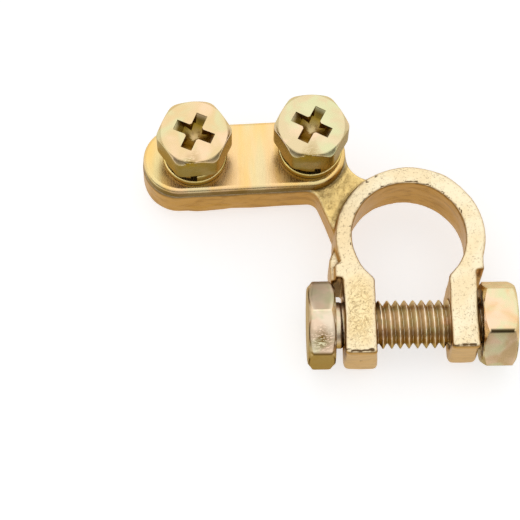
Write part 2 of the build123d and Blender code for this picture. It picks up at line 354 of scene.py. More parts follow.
def spun(radii, heights, angles, closed=False):
    """Surface with one profile per angle: point (r cos a, r sin a, z) on a grid of rows by angles.

    radii and heights are arrays of rows by angles. When closed is false, the first and last
    rows shrink to one point each on the axis; when it is true, the last row joins the first.
    """
    rows, columns = radii.shape
    grid = np.stack([radii * np.cos(angles), radii * np.sin(angles), heights], axis=-1)
    index = np.arange(rows * columns).reshape(rows, columns)
    if closed:
        return grid.reshape(-1, 3), grid_quads(index, True), np.empty((0, 3), int)
    points = np.concatenate([grid[0, :1], grid[1:-1].reshape(-1, 3), grid[-1, :1]])
    ring = np.arange(columns)
    after = np.roll(ring, -1)
    low = np.stack([np.zeros(columns, int), after + 1, ring + 1], axis=-1)
    first = (rows - 3) * columns + 1
    end = np.full(columns, len(points) - 1)
    high = np.stack([end, ring + first, after + first], axis=-1)
    return points, grid_quads(index[1:-1] - columns + 1), np.concatenate([low, high])


def hex_radius(angles, flats, rounding):
    """Distance from a hex's axis to its side: half the flats over the cosine of the angle
    from the nearest flat's middle, and near a corner a circle of the rounding radius."""
    half = flats / 2
    off_flat = np.abs((angles + SIXTH / 2) % SIXTH - SIXTH / 2)
    off_corner = SIXTH / 2 - off_flat
    centre, reach = hex_corner(flats, rounding)
    side = half / np.cos(off_flat)
    inside = np.maximum(rounding**2 - (centre * np.sin(off_corner)) ** 2, 0)
    arc = centre * np.cos(off_corner) + np.sqrt(inside)
    return np.where(off_corner < reach, arc, side)


def hex_corner(flats, rounding):
    """Distance of a rounded corner's centre from the axis, and half the angle it takes up."""
    centre = (flats / 2 - rounding) / math.cos(SIXTH / 2)
    return centre, math.atan2(rounding / 2, centre + rounding * math.cos(SIXTH / 2))


def hex_angles(flats, rounding):
    """Angles of a hex's columns: even along the flats and closer at the rounded corners."""
    reach = hex_corner(flats, rounding)[1]
    at_corner = np.array([-1.25, -1.0, -0.66, -0.33, 0.0, 0.33, 0.66, 1.0, 1.25]) * reach
    middles = np.arange(6) * SIXTH
    flat = np.radians(np.linspace(-30, 30, 10)[1:-1])
    flat = flat[np.abs(flat) < SIXTH / 2 - 1.3 * reach]
    corners = (SIXTH / 2 + middles[:, None] + at_corner).ravel()
    found = np.concatenate([corners, (middles[:, None] + flat).ravel()])
    return np.unique(np.round(found % TURN, 6))


def cross_radius(angles, reach, half_width, turn):
    """Distance from the axis to a cross's outline: the nearer of an arm's end and its sides."""
    off_arm = np.abs((angles - turn + QUARTER / 2) % QUARTER - QUARTER / 2)
    end = reach / np.cos(off_arm)
    side = half_width / np.maximum(np.sin(off_arm), 1e-6)
    return np.minimum(end, side)


def cross_angles(reach, half_width, turn):
    """Angles of a cross's columns: its corners, and even steps along the arms' sides."""
    corner = math.atan2(half_width, reach)
    side = np.arctan2(half_width, np.linspace(reach, half_width, 7))
    end = np.linspace(0, corner, 3)
    half = np.unique(np.concatenate([side, end, [corner * 0.97, corner * 1.03]]))
    arm = np.concatenate([half, -half])
    found = turn + (np.arange(4) * QUARTER)[:, None] + arm
    return np.unique(np.round(found.ravel() % TURN, 6))


def join_angles(*groups):
    """One sorted set of column angles, without pairs that nearly coincide."""
    found = np.unique(np.round(np.concatenate(groups) % TURN, 6))
    keep = np.concatenate([[True], np.diff(found) > 0.004])
    return found[keep]


def thread_radius(angles, heights, radius, pitch, phase):
    """Radius of a right-hand thread: the crest's radius less a sharp valley, by the share of a
    turn that the height is from the nearest crest."""
    share = (heights / pitch - angles / TURN + phase) % 1.0
    fall = np.abs(share - 0.5) * 2.0
    valley = ramp(fall, 0.1, 0.8)
    return radius - THREAD_DEPTH * pitch * (1.0 - valley)


def thread_root(radii, sizes):
    """Nothing on a thread's crest and one at its root."""
    return np.clip((sizes.radius - radii) / (THREAD_DEPTH * sizes.pitch), 0, 1)


def thread_rows(angles, start, end, radius, pitch, phase, tip):
    """Rows of a threaded shank from start to end, fading in at the start and cut by a cone
    of this length at the tip."""
    count = int(abs(end - start) / pitch * 14) + 2
    heights = np.linspace(start, end, count)[:, None] * np.ones_like(angles)
    cut = thread_radius(angles, heights, radius, pitch, phase)
    fade = np.clip(np.abs(heights - start) / pitch, 0, 1)
    plain = radius * PLAIN_SHARE
    mixed = plain + (cut - plain) * fade
    left = np.abs(end - heights)
    cone = radius - THREAD_DEPTH * pitch - 0.1 * pitch + left
    return np.where(left < tip, np.minimum(mixed, cone), mixed), heights


def shank_rows(angles, sizes, collar, start, length_below, phase, tip):
    """Rows of a shank from under its head to its end's middle: a collar in plain radii, and the
    thread from start down."""
    plain = PLAIN_SHARE * sizes.radius
    return [
        (plain * collar, 0),
        (plain, 0),
        thread_rows(angles, start, -length_below, sizes.radius, sizes.pitch, phase, tip),
        (0, -length_below),
    ]


def head_rows(angles, flats, rounding, height, low_cone, crown=30, edge=0.10 * MM):
    """Rows of a hex head from its upper face to its seat: a flat face, a cone of the crown's
    angle that cuts the corners, the hex side, and a second cone where low_cone is set. edge
    sets how softly one runs into the next."""
    side = hex_radius(angles, flats, rounding)
    land = LAND_SHARE * flats / 2
    slope = math.tan(math.radians(crown))
    drop = (side - land) * slope
    rise = drop if low_cone else 0
    return [
        (land - 2.5 * edge, height),
        (land - edge, height),
        (land, height - 0.3 * edge),
        (land + (side - land) * 0.3, height - edge * 0.4 - drop * 0.3),
        (side - edge * 1.4, height - drop - edge * 0.2),
        (side - edge * 0.35, height - drop - edge * 0.8),
        (side, height - drop - edge * 2.0),
        (side, height - drop - edge * 4.0),
        (side, height * 0.5),
        (side, rise + edge * 4.0),
        (side, rise + edge * 2.0),
        (side - edge * 0.35, rise + edge * 0.8),
        (side - edge * 1.4, rise + edge * 0.2),
        (land + (side - land) * 0.3, rise * 0.3 + edge * 0.1),
        (land, 0),
    ]


def stack(rows, angles):
    """Two arrays of rows by angles from rows of radius and height, each of which is a number,
    an array with a value per angle, or several rows already."""
    ones = np.ones_like(angles)
    return [
        np.concatenate([np.atleast_2d(value * ones) for value in column])
        for column in zip(*rows)
    ]


def waves(points, size, count, seed):
    """Smooth random field: the mean of many sine waves of this wavelength, each along a
    random direction with a random phase."""
    source = np.random.default_rng(seed)
    ways = source.normal(size=(count, 3))
    ways /= np.linalg.norm(ways, axis=1, keepdims=True)
    ways *= TURN / size * source.uniform(0.7, 1.4, (count, 1))
    phases = source.uniform(0, TURN, count)
    total = np.zeros(len(points))
    for way, phase in zip(ways, phases):
        total += np.sin(points @ way + phase)
    return total / math.sqrt(count)


# Materials

def material(name):
    """New node material, with its tree, its Principled BSDF and its coordinates."""
    made = bpy.data.materials.new(name)
    made.use_nodes = True
    tree = made.node_tree
    shader = tree.nodes["Principled BSDF"]
    where = tree.nodes.new("ShaderNodeTexCoord")
    return made, tree, shader, where


def group_tree(name, numbers, colors, outputs):
    """New shader node group. It takes a vector, these numbers and these colours, and gives
    these outputs, of which the one named Color is a colour. Returns its tree, what it is given
    and what it gives out."""
    tree = bpy.data.node_groups.new(name, "ShaderNodeTree")
    sockets = [("Vector", "INPUT", "Vector")]
    sockets += [(label, "INPUT", "Float") for label in numbers]
    sockets += [(label, "INPUT", "Color") for label in colors]
    sockets += [(label, "OUTPUT", "Color" if label == "Color" else "Float") for label in outputs]
    for label, way, kind in sockets:
        tree.interface.new_socket(label, in_out=way, socket_type="NodeSocket" + kind)
    given, out = tree.nodes.new("NodeGroupInput"), tree.nodes.new("NodeGroupOutput")
    return tree, given.outputs, out.inputs


def noise(tree, vector, size, detail=2.0, roughness=0.5, distortion=0.0):
    """Noise texture's value, in blobs about this many metres across."""
    node = tree.nodes.new("ShaderNodeTexNoise")
    for label, number in (
        ("Detail", detail), ("Roughness", roughness), ("Distortion", distortion),
        ("Scale", 1.0 / size),
    ):
        node.inputs[label].default_value = number
    tree.links.new(vector, node.inputs["Vector"])
    return node.outputs["Fac"]


def span(tree, value, low, high, out_low=0.0, out_high=1.0):
    """Map Range node from one span of values to another, clamped and smooth."""
    node = tree.nodes.new("ShaderNodeMapRange")
    node.interpolation_type = "SMOOTHSTEP"
    for label, number in (
        ("From Min", low), ("From Max", high), ("To Min", out_low), ("To Max", out_high)
    ):
        node.inputs[label].default_value = number
    tree.links.new(value, node.inputs["Value"])
    return node.outputs["Result"]


def feed(tree, value, socket):
    """Gives a socket its value: another socket, a number or a colour."""
    if isinstance(value, bpy.types.NodeSocket):
        tree.links.new(value, socket)
    else:
        socket.default_value = (*value, 1.0) if np.size(value) == 3 else value


def blend(tree, share, first, second, mode="MIX"):
    """Colour mix: share and both colours may be sockets or plain values."""
    node = tree.nodes.new("ShaderNodeMix")
    node.data_type = "RGBA"
    node.blend_type = mode
    for socket, value in ((0, share), (6, first), (7, second)):
        feed(tree, value, node.inputs[socket])
    return node.outputs[2]


def arithmetic(tree, operation, first, second):
    """Math node on two values, each a socket or a number."""
    node = tree.nodes.new("ShaderNodeMath")
    node.operation = operation
    for socket, value in enumerate((first, second)):
        feed(tree, value, node.inputs[socket])
    return node.outputs[0]


def parts(tree, vector):
    """X, Y and Z of a vector, by name."""
    node = tree.nodes.new("ShaderNodeSeparateXYZ")
    tree.links.new(vector, node.inputs[0])
    return node.outputs


def times(tree, first, second):
    """Product of two values."""
    return arithmetic(tree, "MULTIPLY", first, second)


def larger(tree, first, second):
    """The larger of two values."""
    return arithmetic(tree, "MAXIMUM", first, second)


def bump(tree, shader, height, distance):
    """Bump node of this height in metres, on the shader's normal."""
    node = tree.nodes.new("ShaderNodeBump")
    node.inputs["Distance"].default_value = distance
    tree.links.new(height, node.inputs["Height"])
    tree.links.new(node.outputs["Normal"], shader.inputs["Normal"])


def place_group(tree, name, vector, **values):
    """Places a node group in a material, with its vector linked and its values set."""
    node = tree.nodes.new("ShaderNodeGroup")
    node.node_tree = bpy.data.node_groups[name]
    tree.links.new(vector, node.inputs["Vector"])
    for label, value in values.items():
        feed(tree, value, node.inputs[label.replace("_", " ")])
    return node


def scaled_vector(tree, vector, factors):
    """Vector multiplied by three factors."""
    node = tree.nodes.new("ShaderNodeVectorMath")
    node.operation = "MULTIPLY"
    node.inputs[1].default_value = factors
    tree.links.new(vector, node.inputs[0])
    return node.outputs[0]


def make_grain_group():
    """Node group for the sand's mark: the grain's height, pits, slow patches, wall streaks and
    crinkles."""
    tree, given, out = group_tree(
        "SandGrain", (), (), ("Height", "Pits", "Patches", "Streaks", "Crinkles")
    )
    where = given["Vector"]
    fine = noise(tree, where, 0.30 * MM, 3.0, 0.65)
    coarse = noise(tree, where, 0.9 * MM, 4.0, 0.6)
    specks = noise(tree, where, 0.22 * MM, 2.0, 0.7, 0.3)
    slow = noise(tree, where, 5.0 * MM, 3.0, 0.55)
    run = noise(tree, scaled_vector(tree, where, (0.4, 0.4, 1.2)), 1.3 * MM, 4.0, 0.65, 0.4)
    folds = noise(tree, where, 0.95 * MM, 3.0, 0.6, 2.2)
    pits = span(tree, specks, 0.58, 0.72)
    height = arithmetic(tree, "ADD", times(tree, fine, 0.6), coarse)
    height = arithmetic(tree, "SUBTRACT", height, times(tree, pits, 0.5))
    tree.links.new(height, out["Height"])
    tree.links.new(pits, out["Pits"])
    tree.links.new(span(tree, slow, 0.38, 0.62), out["Patches"])
    tree.links.new(span(tree, run, 0.45, 0.66), out["Streaks"])
    tree.links.new(span(tree, folds, 0.50, 0.60), out["Crinkles"])


def make_plating_group():
    """Node group for yellow zinc plating: films that drift in pink and green over the upper
    faces, sides painted darker olive as shade by the way the surface faces, undersides painted
    darker as shadow, painted shade in hollows, and dark scuffs."""
    tree, given, out = group_tree(
        "YellowPlating",
        ("Facing", "PaintedShade", "Scuff", "Film Size", "Film", "Satin", "Underside"),
        ("Top", "Side", "Pink", "Green", "Deep"),
        ("Color", "Roughness", "Height"),
    )
    scaled = tree.nodes.new("ShaderNodeVectorMath")
    scaled.operation = "SCALE"
    tree.links.new(given["Vector"], scaled.inputs[0])
    tree.links.new(arithmetic(tree, "DIVIDE", 1.0, given["Film Size"]), scaled.inputs["Scale"])
    moved = tree.nodes.new("ShaderNodeVectorMath")
    moved.operation = "ADD"
    moved.inputs[1].default_value = (0.031, -0.017, 0.023)
    tree.links.new(scaled.outputs[0], moved.inputs[0])
    first = noise(tree, scaled.outputs[0], 4.2 * MM, 2.0, 0.5, 0.5)
    second = noise(tree, moved.outputs[0], 3.6 * MM, 2.0, 0.5, 0.6)
    fine = noise(tree, given["Vector"], 0.25 * MM, 3.0, 0.6)
    dragged = scaled_vector(tree, given["Vector"], (0.5, 1.4, 1.0))
    marks = noise(tree, dragged, 0.5 * MM, 3.0, 0.7, 1.2)
    # Painted shade: upright faces take the darker side colour by the way they face
    facing = span(tree, given["Facing"], 0.05, 0.8)
    color = blend(tree, facing, given["Side"], given["Top"])
    film = times(tree, given["Film"], span(tree, given["Facing"], -0.1, 0.8, 0.12))
    for pattern, sheen in ((first, "Pink"), (second, "Green")):
        share = times(tree, span(tree, pattern, 0.42, 0.68), film)
        color = blend(tree, share, color, given[sheen])
    shadow = larger(tree, span(tree, given["Facing"], -0.9, 0.5), given["Underside"])
    dim = tree.nodes.new("ShaderNodeCombineColor")
    for channel in ("Red", "Green", "Blue"):
        tree.links.new(shadow, dim.inputs[channel])
    color = blend(tree, 1.0, color, dim.outputs["Color"], "MULTIPLY")
    # Painted shade in hollows, recesses, thread roots and along dark edge lines
    color = blend(tree, given["PaintedShade"], color, given["Deep"])
    scuff = times(tree, span(tree, marks, 0.40, 0.50), given["Scuff"])
    tree.links.new(blend(tree, scuff, color, given["Deep"]), out["Color"])
    satin = arithmetic(tree, "ADD", given["Satin"], span(tree, fine, 0.3, 0.7, 0.0, 0.08))
    tree.links.new(satin, out["Roughness"])
    tree.links.new(arithmetic(tree, "SUBTRACT", fine, times(tree, scuff, 4.0)), out["Height"])


def attribute(tree, label):
    """Value of one of a mesh's own attributes."""
    node = tree.nodes.new("ShaderNodeAttribute")
    node.attribute_name = label
    return node.outputs["Fac"]


def brass_material(settings):
    """Cast brass: pale sandy faces, streaked walls painted darker brown as shade, a crinkled neck
    and lug with painted shade in their folds, dark pits and cracks, and painted shade in corners,
    under the plate's edge, at the ring's foot and in the pocket, by the skin's own attributes."""
    made, tree, shader, where = material("Cast_brass")
    grain = place_group(tree, "SandGrain", where.outputs["Object"]).outputs
    facing = attribute(tree, "facing_up")
    crinkle = attribute(tree, "crinkle")
    up = span(tree, facing, 0.35, 0.85)
    patches = larger(
        tree, times(tree, grain["Patches"], 0.6), times(tree, attribute(tree, "warm"), 0.85)
    )
    top = blend(tree, patches, settings.top_color, settings.warm_color)
    streaks = times(tree, grain["Streaks"], 0.5)
    # Painted shade: faces that don't look up take the darker wall colour, with real streaks on it
    wall = blend(tree, streaks, settings.shaded_wall_color, settings.streak_color)
    pale = times(tree, attribute(tree, "front"), 0.2)
    wall = blend(tree, pale, wall, settings.top_color)
    color = blend(tree, up, wall, top)
    golden = larger(
        tree, times(tree, attribute(tree, "neck"), 0.85), times(tree, crinkle, 0.4)
    )
    color = blend(tree, times(tree, golden, up), color, settings.neck_color)
    folds = times(tree, grain["Crinkles"], crinkle)
    # Painted shade in the folds' valleys, darkened towards the wall colour
    color = blend(tree, times(tree, folds, 0.28), color, settings.shaded_wall_color)
    speck = times(tree, grain["Pits"], span(tree, facing, 0.2, 0.8, 0.15, 0.42))
    color = blend(tree, speck, color, settings.streak_color)
    # Painted shade in concave corners, under the plate's edge, at the ring's foot and in the
    # pocket, with the real cracks
    dark = larger(
        tree, span(tree, attribute(tree, "corner"), 0.10, 0.55, 0.0, 0.9),
        span(tree, attribute(tree, "crack"), 0.25, 0.7, 0.0, 0.95),
    )
    color = blend(tree, dark, color, settings.shade_and_crack_color)
    tree.links.new(color, shader.inputs["Base Color"])
    shader.inputs["Metallic"].default_value = 1.0
    shader.inputs["Specular Tint"].default_value = (0.96, 0.86, 0.68, 1.0)
    tree.links.new(span(tree, facing, 0.2, 0.85, 0.30, 0.42), shader.inputs["Roughness"])
    sand = times(tree, grain["Height"], span(tree, facing, 0.2, 0.85, 0.3, 0.8))
    sand = arithmetic(tree, "SUBTRACT", sand, times(tree, folds, 0.4))
    bump(tree, shader, sand, 0.10 * MM)
    return made


def plated_material(name, settings, look):
    """Yellow zinc plating on steel. look gives what differs from the shared settings: the
    colours of the upper faces, of the sides, which are painted darker as shade, and of the
    painted shade in the hollows, which the scuffs share, the film's strength and size, the
    pattern's stretch and offset, the roughness, and how light the painted shadow on the
    underside stays."""
    made, tree, shader, where = material(name)
    shift = tree.nodes.new("ShaderNodeMapping")
    shift.inputs["Location"].default_value = look.get("offset", (0, 0, 0))
    shift.inputs["Scale"].default_value = look.get("stretch", (1, 1, 1))
    tree.links.new(where.outputs["Object"], shift.inputs["Vector"])
    film = place_group(
        tree, "YellowPlating", shift.outputs["Vector"], Film_Size=look.get("size", 1.0),
        Film=look.get("film", 0.7), Top=look.get("top", settings.top),
        Side=look.get("side", settings.side), Pink=settings.pink, Green=settings.green,
        Deep=look.get("deep", settings.deep), Satin=look.get("rough", 0.24),
        Underside=look.get("underside", 0.45),
    )
    tree.links.new(parts(tree, where.outputs["Normal"])["Z"], film.inputs["Facing"])
    tree.links.new(attribute(tree, "hollow"), film.inputs["PaintedShade"])
    tree.links.new(attribute(tree, "scuff"), film.inputs["Scuff"])
    tree.links.new(film.outputs["Color"], shader.inputs["Base Color"])
    tree.links.new(film.outputs["Roughness"], shader.inputs["Roughness"])
    shader.inputs["Metallic"].default_value = 1.0
    shader.inputs["Specular Tint"].default_value = (0.92, 0.80, 0.55, 1.0)
    bump(tree, shader, film.outputs["Height"], 0.001 * MM)
    return made


def give(made, skin):
    """Puts one material on an object in place of any it has."""
    made.data.materials.clear()
    made.data.materials.append(skin)


def give_node(name, skin):
    """Puts one material in all of a CAD node's slots."""
    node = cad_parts[name]
    if not node.material_slots:
        node.data.materials.append(skin)
    for holder in node.material_slots:
        holder.material = skin


# Operators

class CLAMP_OT_finishes(bpy.types.Operator):
    """Make the shared node groups of the grain and the plating"""

    bl_idname = "clamp.finishes"
    bl_label = "Shared finishes"

    def execute(self, context):
        make_grain_group()
        make_plating_group()
        return {"FINISHED"}


def node_centre(name):
    """Middle of a CAD node's box, as an array."""
    low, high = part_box(name)
    return (np.array(low) + np.array(high)) / 2


def neighbour_mean(values, edges):
    """Mean of each point's neighbours along the edges, for an array of values."""
    count = len(values)
    total = np.zeros_like(values)
    for column in range(values.shape[1]):
        total[:, column] = np.bincount(
            edges[:, 0], values[edges[:, 1], column], count
        ) + np.bincount(edges[:, 1], values[edges[:, 0], column], count)
    degree = np.bincount(edges.ravel(), minlength=count)
    return total / np.maximum(degree, 1)[:, None]


def remeshed(name, source, cell):
    """Mesh of even cells over a copy of an object, its doubles merged first."""
    mesh = source.data.copy()
    shell = bmesh.new()
    shell.from_mesh(mesh)
    bmesh.ops.remove_doubles(shell, verts=shell.verts, dist=1e-6)
    shell.to_mesh(mesh)
    shell.free()
    raw = add_object(name + "_raw", mesh)
    cells = raw.modifiers.new("cells", "REMESH")
    cells.mode = "VOXEL"
    cells.voxel_size = cell
    seen = raw.evaluated_get(bpy.context.evaluated_depsgraph_get())
    skin = bpy.data.meshes.new_from_object(seen)
    bpy.data.objects.remove(raw)
    skin.name = name
    return skin


def read_array(items, label, kind, width):
    """One property of a mesh's items, as an array with this many columns."""
    values = np.zeros(len(items) * width, kind)
    items.foreach_get(label, values)
    return values.reshape(-1, width)


def write_points(mesh, points):
    """Puts an array of points into a mesh."""
    mesh.vertices.foreach_set("co", points.astype(np.float32).ravel())
    mesh.update()


def lug_sides(points):
    """Which points lie on the left and on the right lug's side."""
    return points[:, 0] < 0, points[:, 0] > 0


def wear_fronts(points, edges):
    """Smooths the lugs' front faces below their upper edges. Returns the moved points and how
    worn each is."""
    front = np.where(points[:, 0] < 0, *[np.min(points[side, 1]) for side in lug_sides(points)])
    worn = np.clip(1.6 - (points[:, 1] - front) / (0.9 * MM), 0, 1)
    worn *= ramp(points[:, 2], 9.0 * MM, -0.9 * MM)
    for step in range(9):
        points = points + 0.8 * worn[:, None] * (neighbour_mean(points, edges) - points)
    return points, worn


def crack_lines(points, on_top, across, ragged):
    """Ragged lines along the lugs' upper front edges and along the bore's upper rim, mostly at
    the back, and the small scars."""
    crack = np.zeros(len(points))
    for side in lug_sides(points):
        front = np.min(points[side & on_top, 1])
        off = points[:, 1] - front - 0.35 * MM - 0.14 * MM * ragged
        line = band(off, 0.32 * MM, 1.2) * np.clip(ragged + 1.0, 0, 1)
        crack = np.maximum(crack, line * (side & on_top))
    off = across - np.min(across[on_top]) - 0.25 * MM - 0.1 * MM * ragged
    back = np.clip(0.2 + (points[:, 1] - 3 * MM) / (6 * MM), 0, 0.6)
    line = band(off, 0.17 * MM, 1.2) * np.clip(ragged + back, 0, 1)
    crack = np.maximum(crack, line * on_top * (points[:, 1] > -2 * MM))
    for middle, reach in SCARS:
        hit = near(points, middle, reach) * np.clip(0.6 + waves(points, 0.7 * MM, 16, 31), 0, 1)
        crack = np.maximum(crack, hit)
    return crack


def flash_step(points, settings):
    """Share of the flash step's height: full below a slow line on the tongue's side."""
    edge = near(points, settings.flash_place, settings.flash_reach)
    drop = settings.flash_place[2] + 0.5 * MM * waves(points * np.array([1, 0, 0]), 5 * MM, 8, 41)
    return np.clip(edge * 3, 0, 1) * ramp(points[:, 2], drop, -0.2 * MM)


def cast_skin(name, source, settings):
    """Even skin over a copy of the casting: remeshed into small cells, smoothed, then moved
    along the normals by slow waves everywhere and by finer ones where it faces up. Beside the
    bolt's head it only moves inwards, which leaves the head its room."""
    skin = remeshed(name, source, settings.voxel)
    points = read_array(skin.vertices, "co", float, 3)
    edges = read_array(skin.edges, "vertices", np.int64, 2)
    for step in range(3):
        points += 0.5 * (neighbour_mean(points, edges) - points)
        points -= 0.5 * (neighbour_mean(points, edges) - points)
    points, worn = wear_fronts(points, edges)
    write_points(skin, points)
    normals = read_array(skin.vertex_normals, "vector", np.float32, 3).astype(float)
    wide = normals
    for step in range(6):
        wide = neighbour_mean(wide, edges)
    bend = np.einsum("ij,ij->i", neighbour_mean(points, edges) - points, normals)[:, None]
    for step in range(2):
        bend = neighbour_mean(bend, edges)
    bend = bend[:, 0] / settings.voxel

    up = np.clip(wide[:, 2], 0, 1)
    flat = ramp(wide[:, 2], 0.75, 0.2)
    plate_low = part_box("cable_plate")[0][2]
    hub = node_centre("flat_washer_right")
    from_hub = np.hypot(points[:, 0] - hub[0], points[:, 1] - hub[1])
    level = band(points[:, 2] - plate_low, 0.6 * MM, 1.4)
    right_of = points[:, 0] > hub[0]
    neck = level * ramp(from_hub, 6.1 * MM, 0.3 * MM) * right_of
    lug = near(points, settings.lump_place, settings.lump_reach)
    crinkle = np.clip(0.5 * neck + lug * 1.3, 0, 1) * flat

    rise = settings.lumps * waves(points, 7.0 * MM, 24, 3)
    rise += settings.sand * up * waves(points, 1.3 * MM, 40, 5)
    rise += 0.4 * settings.sand * waves(points, 2.4 * MM, 30, 8)
    folds = waves(points, 1.5 * MM, 30, 11) + 0.7 * waves(points, 0.8 * MM, 30, 12)
    valleys = 1.0 - np.clip(1.4 - np.abs(folds) * 2.2, 0, 1)
    rise -= (crinkle - 0.1 * neck) * settings.folds * valleys
    ragged = waves(points * np.array([1, 1, 0]), 1.2 * MM, 20, 21)
    on_top = points[:, 2] > np.max(points[:, 2]) - 0.9 * MM
    across = np.hypot(points[:, 0], points[:, 1])
    ring_wall = np.max(across[on_top & (points[:, 1] > 2 * MM)])
    right_front = np.min(points[on_top & (points[:, 0] > 0), 1])
    crack = crack_lines(points, on_top, across, ragged)
    rise -= CRACK_DEPTH * crack
    rise += FLASH_HEIGHT * flash_step(points, settings)
    bolt_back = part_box("clamp_bolt")[1][1]
    lug_face = np.min(points[points[:, 1] < -11 * MM, 0])
    by_head = (points[:, 0] < lug_face + 0.8 * MM) & (points[:, 1] < bolt_back + 2 * MM)
    rise = np.where(by_head, np.minimum(rise, 0) - 0.03 * MM, rise)
    low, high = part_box("clamp_body")
    points = np.clip(points + normals * rise[:, None], np.array(low), np.array(high))
    write_points(skin, points)
    skin.polygons.foreach_set("use_smooth", np.ones(len(skin.polygons), bool))
    made = add_object(name, skin)

    # Painted shade: concave corners, the tongue's top under the plate's edge, the neck at the
    # ring's foot and the pocket beside the bolt's head are marked for darkening
    under_plate = np.where(right_of, ramp(from_hub, 7.0 * MM, -0.3 * MM), 1.0)
    at_ring = band(across - ring_wall - 0.3 * MM, 0.4 * MM, 1.4)
    ledge_shade = level * np.maximum(0.35 * under_plate, 0.28 * at_ring)
    pocket = near(points, settings.pocket_shade_place, settings.pocket_shade_reach)
    corner = np.maximum(np.clip(bend * 4, 0, 1), np.maximum(ledge_shade, pocket))
    mark(
        made, facing_up=wide[:, 2], corner=corner, crinkle=crinkle, neck=neck, crack=crack,
        front=np.clip(worn * 1.2, 0, 1) * (points[:, 1] < right_front + 0.8 * MM),
        warm=near(points, settings.warm_place, settings.warm_reach),
    )
    return made


class CLAMP_OT_casting(bpy.types.Operator):
    """Make the sand-cast brass body"""

    bl_idname = "clamp.casting"
    bl_label = "Brass casting"

    def execute(self, context):
        settings = context.scene.clamp_casting
        made = cast_skin("brass_casting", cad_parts["clamp_body"], settings)
        give(made, brass_material(settings))
        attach(made, "clamp")
        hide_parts("clamp_body")
        return {"FINISHED"}


class CLAMP_OT_plate(bpy.types.Operator):
    """Finish the cable plate and the flat washers"""

    bl_idname = "clamp.plate"
    bl_label = "Cable plate"

    def execute(self, context):
        plating = context.scene.clamp_plating
        give_node("cable_plate", plated_material("Plated_plate", plating, PLATE_LOOK))
        skin = plated_material("Plated_washer", plating, WASHER_LOOK)
        for side in ("left", "right"):
            give_node("flat_washer_" + side, skin)
        return {"FINISHED"}


def screw_rows(angles, sizes, turn, length_below):
    """Rows of a screw from the recess's middle, out over the head and down the thread."""
    half = sizes.arm / 2
    top = sizes.head
    floor_reach = 0.62 * sizes.reach
    floor_r = cross_radius(angles, floor_reach, half, turn)
    mouth_r = np.maximum(cross_radius(angles, sizes.reach, half, turn), sizes.core)
    slope = 0.5 * sizes.depth / floor_reach
    floor_z = top - sizes.depth + slope * floor_r
    edge = 0.06 * MM
    rows = [
        (0, top - sizes.depth),
        (floor_r * 0.5, (top - sizes.depth) + slope * floor_r * 0.5),
        (floor_r * 0.97, floor_z - 0.01 * MM),
        (floor_r + (mouth_r - floor_r) * 0.04, floor_z + (top - floor_z) * 0.05),
        (floor_r + (mouth_r - floor_r) * 0.5, floor_z + (top - floor_z) * 0.5),
        (mouth_r - edge * 0.2, top - 2.0 * edge),
        (mouth_r, top - edge),
        (mouth_r + 0.4 * edge, top - 0.25 * edge),
        (mouth_r + 1.2 * edge, top),
        (mouth_r + 3.0 * edge, top),
    ]
    rows += head_rows(angles, sizes.flats, sizes.rounding, sizes.head, False, SCREW_CROWN)
    rows += shank_rows(angles, sizes, 1.2, -0.3 * MM, length_below, 0.0, 1.0 * MM)
    return stack(rows, angles)


def screw_hollow(radii, heights, sizes):
    """Painted shade on a screw: nearly full in the recess, less on its floor, a little on the
    crown's cone, and on the thread from nothing on the crest to full at the root."""
    below = np.clip((sizes.head - heights - 0.05 * MM) / (0.7 * MM), 0, 1)
    floor = np.clip((sizes.head - heights) / sizes.depth - 0.6, 0, 1) * 2.5
    middle = np.clip(1.5 - radii / (0.36 * sizes.reach), 0, 1)
    recess = below * np.clip(1.0 - floor * middle, 0.42, 1) * 0.95
    root = thread_root(radii, sizes)
    row = np.arange(len(radii))[:, None] * np.ones_like(radii)
    last_of_recess, cone_start, cone_end = 6, 12, 15
    cone = 0.12 * ((row >= cone_start) & (row <= cone_end))
    return np.where(row <= last_of_recess, recess, np.where(heights < -0.2 * MM, root, cone))


class CLAMP_OT_screws(bpy.types.Operator):
    """Make the recessed cable screws"""

    bl_idname = "clamp.screws"
    bl_label = "Cable screws"

    def execute(self, context):
        sizes = context.scene.clamp_screw
        plating = context.scene.clamp_plating
        for side, hex_turn in HEX_TURNS:
            name = "cable_screw_" + side
            low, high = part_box(name)
            middle = node_centre("flat_washer_" + side)
            recess = math.radians(RECESS_TURN) - QUARTER
            angles = join_angles(
                hex_angles(sizes.flats, sizes.rounding),
                cross_angles(sizes.reach, sizes.arm / 2, recess),
                np.linspace(0, TURN, 97)[:-1],
            )
            seat = high[2] - sizes.head
            radii, heights = screw_rows(angles, sizes, recess, seat - low[2])
            points, quads, tris = spun(radii, heights, angles + QUARTER)
            # Painted shade in the recess, on the crown's cone and in the thread's roots
            hollow = per_point(screw_hollow(radii, heights, sizes))
            turn = math.radians(hex_turn)
            points = place(
                points, (middle[0], middle[1], seat), (0, 0, 1), (math.cos(turn), math.sin(turn), 0)
            )
            made = mesh_object("screw_" + side, points, quads, tris)
            front = (middle[0] - 0.8 * MM, middle[1] - 5.6 * MM, seat + sizes.head - 0.3 * MM)
            mark(made, hollow=hollow, scuff=near(points, front, (2.8 * MM, 0.7 * MM, 1.2 * MM)))
            face_outwards(made)
            sharpen(made)
            give(made, plated_material("Plated_screw_" + side, plating, SCREW_LOOKS[side]))
            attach(made, "screw_" + side)
            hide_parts(name)
        return {"FINISHED"}


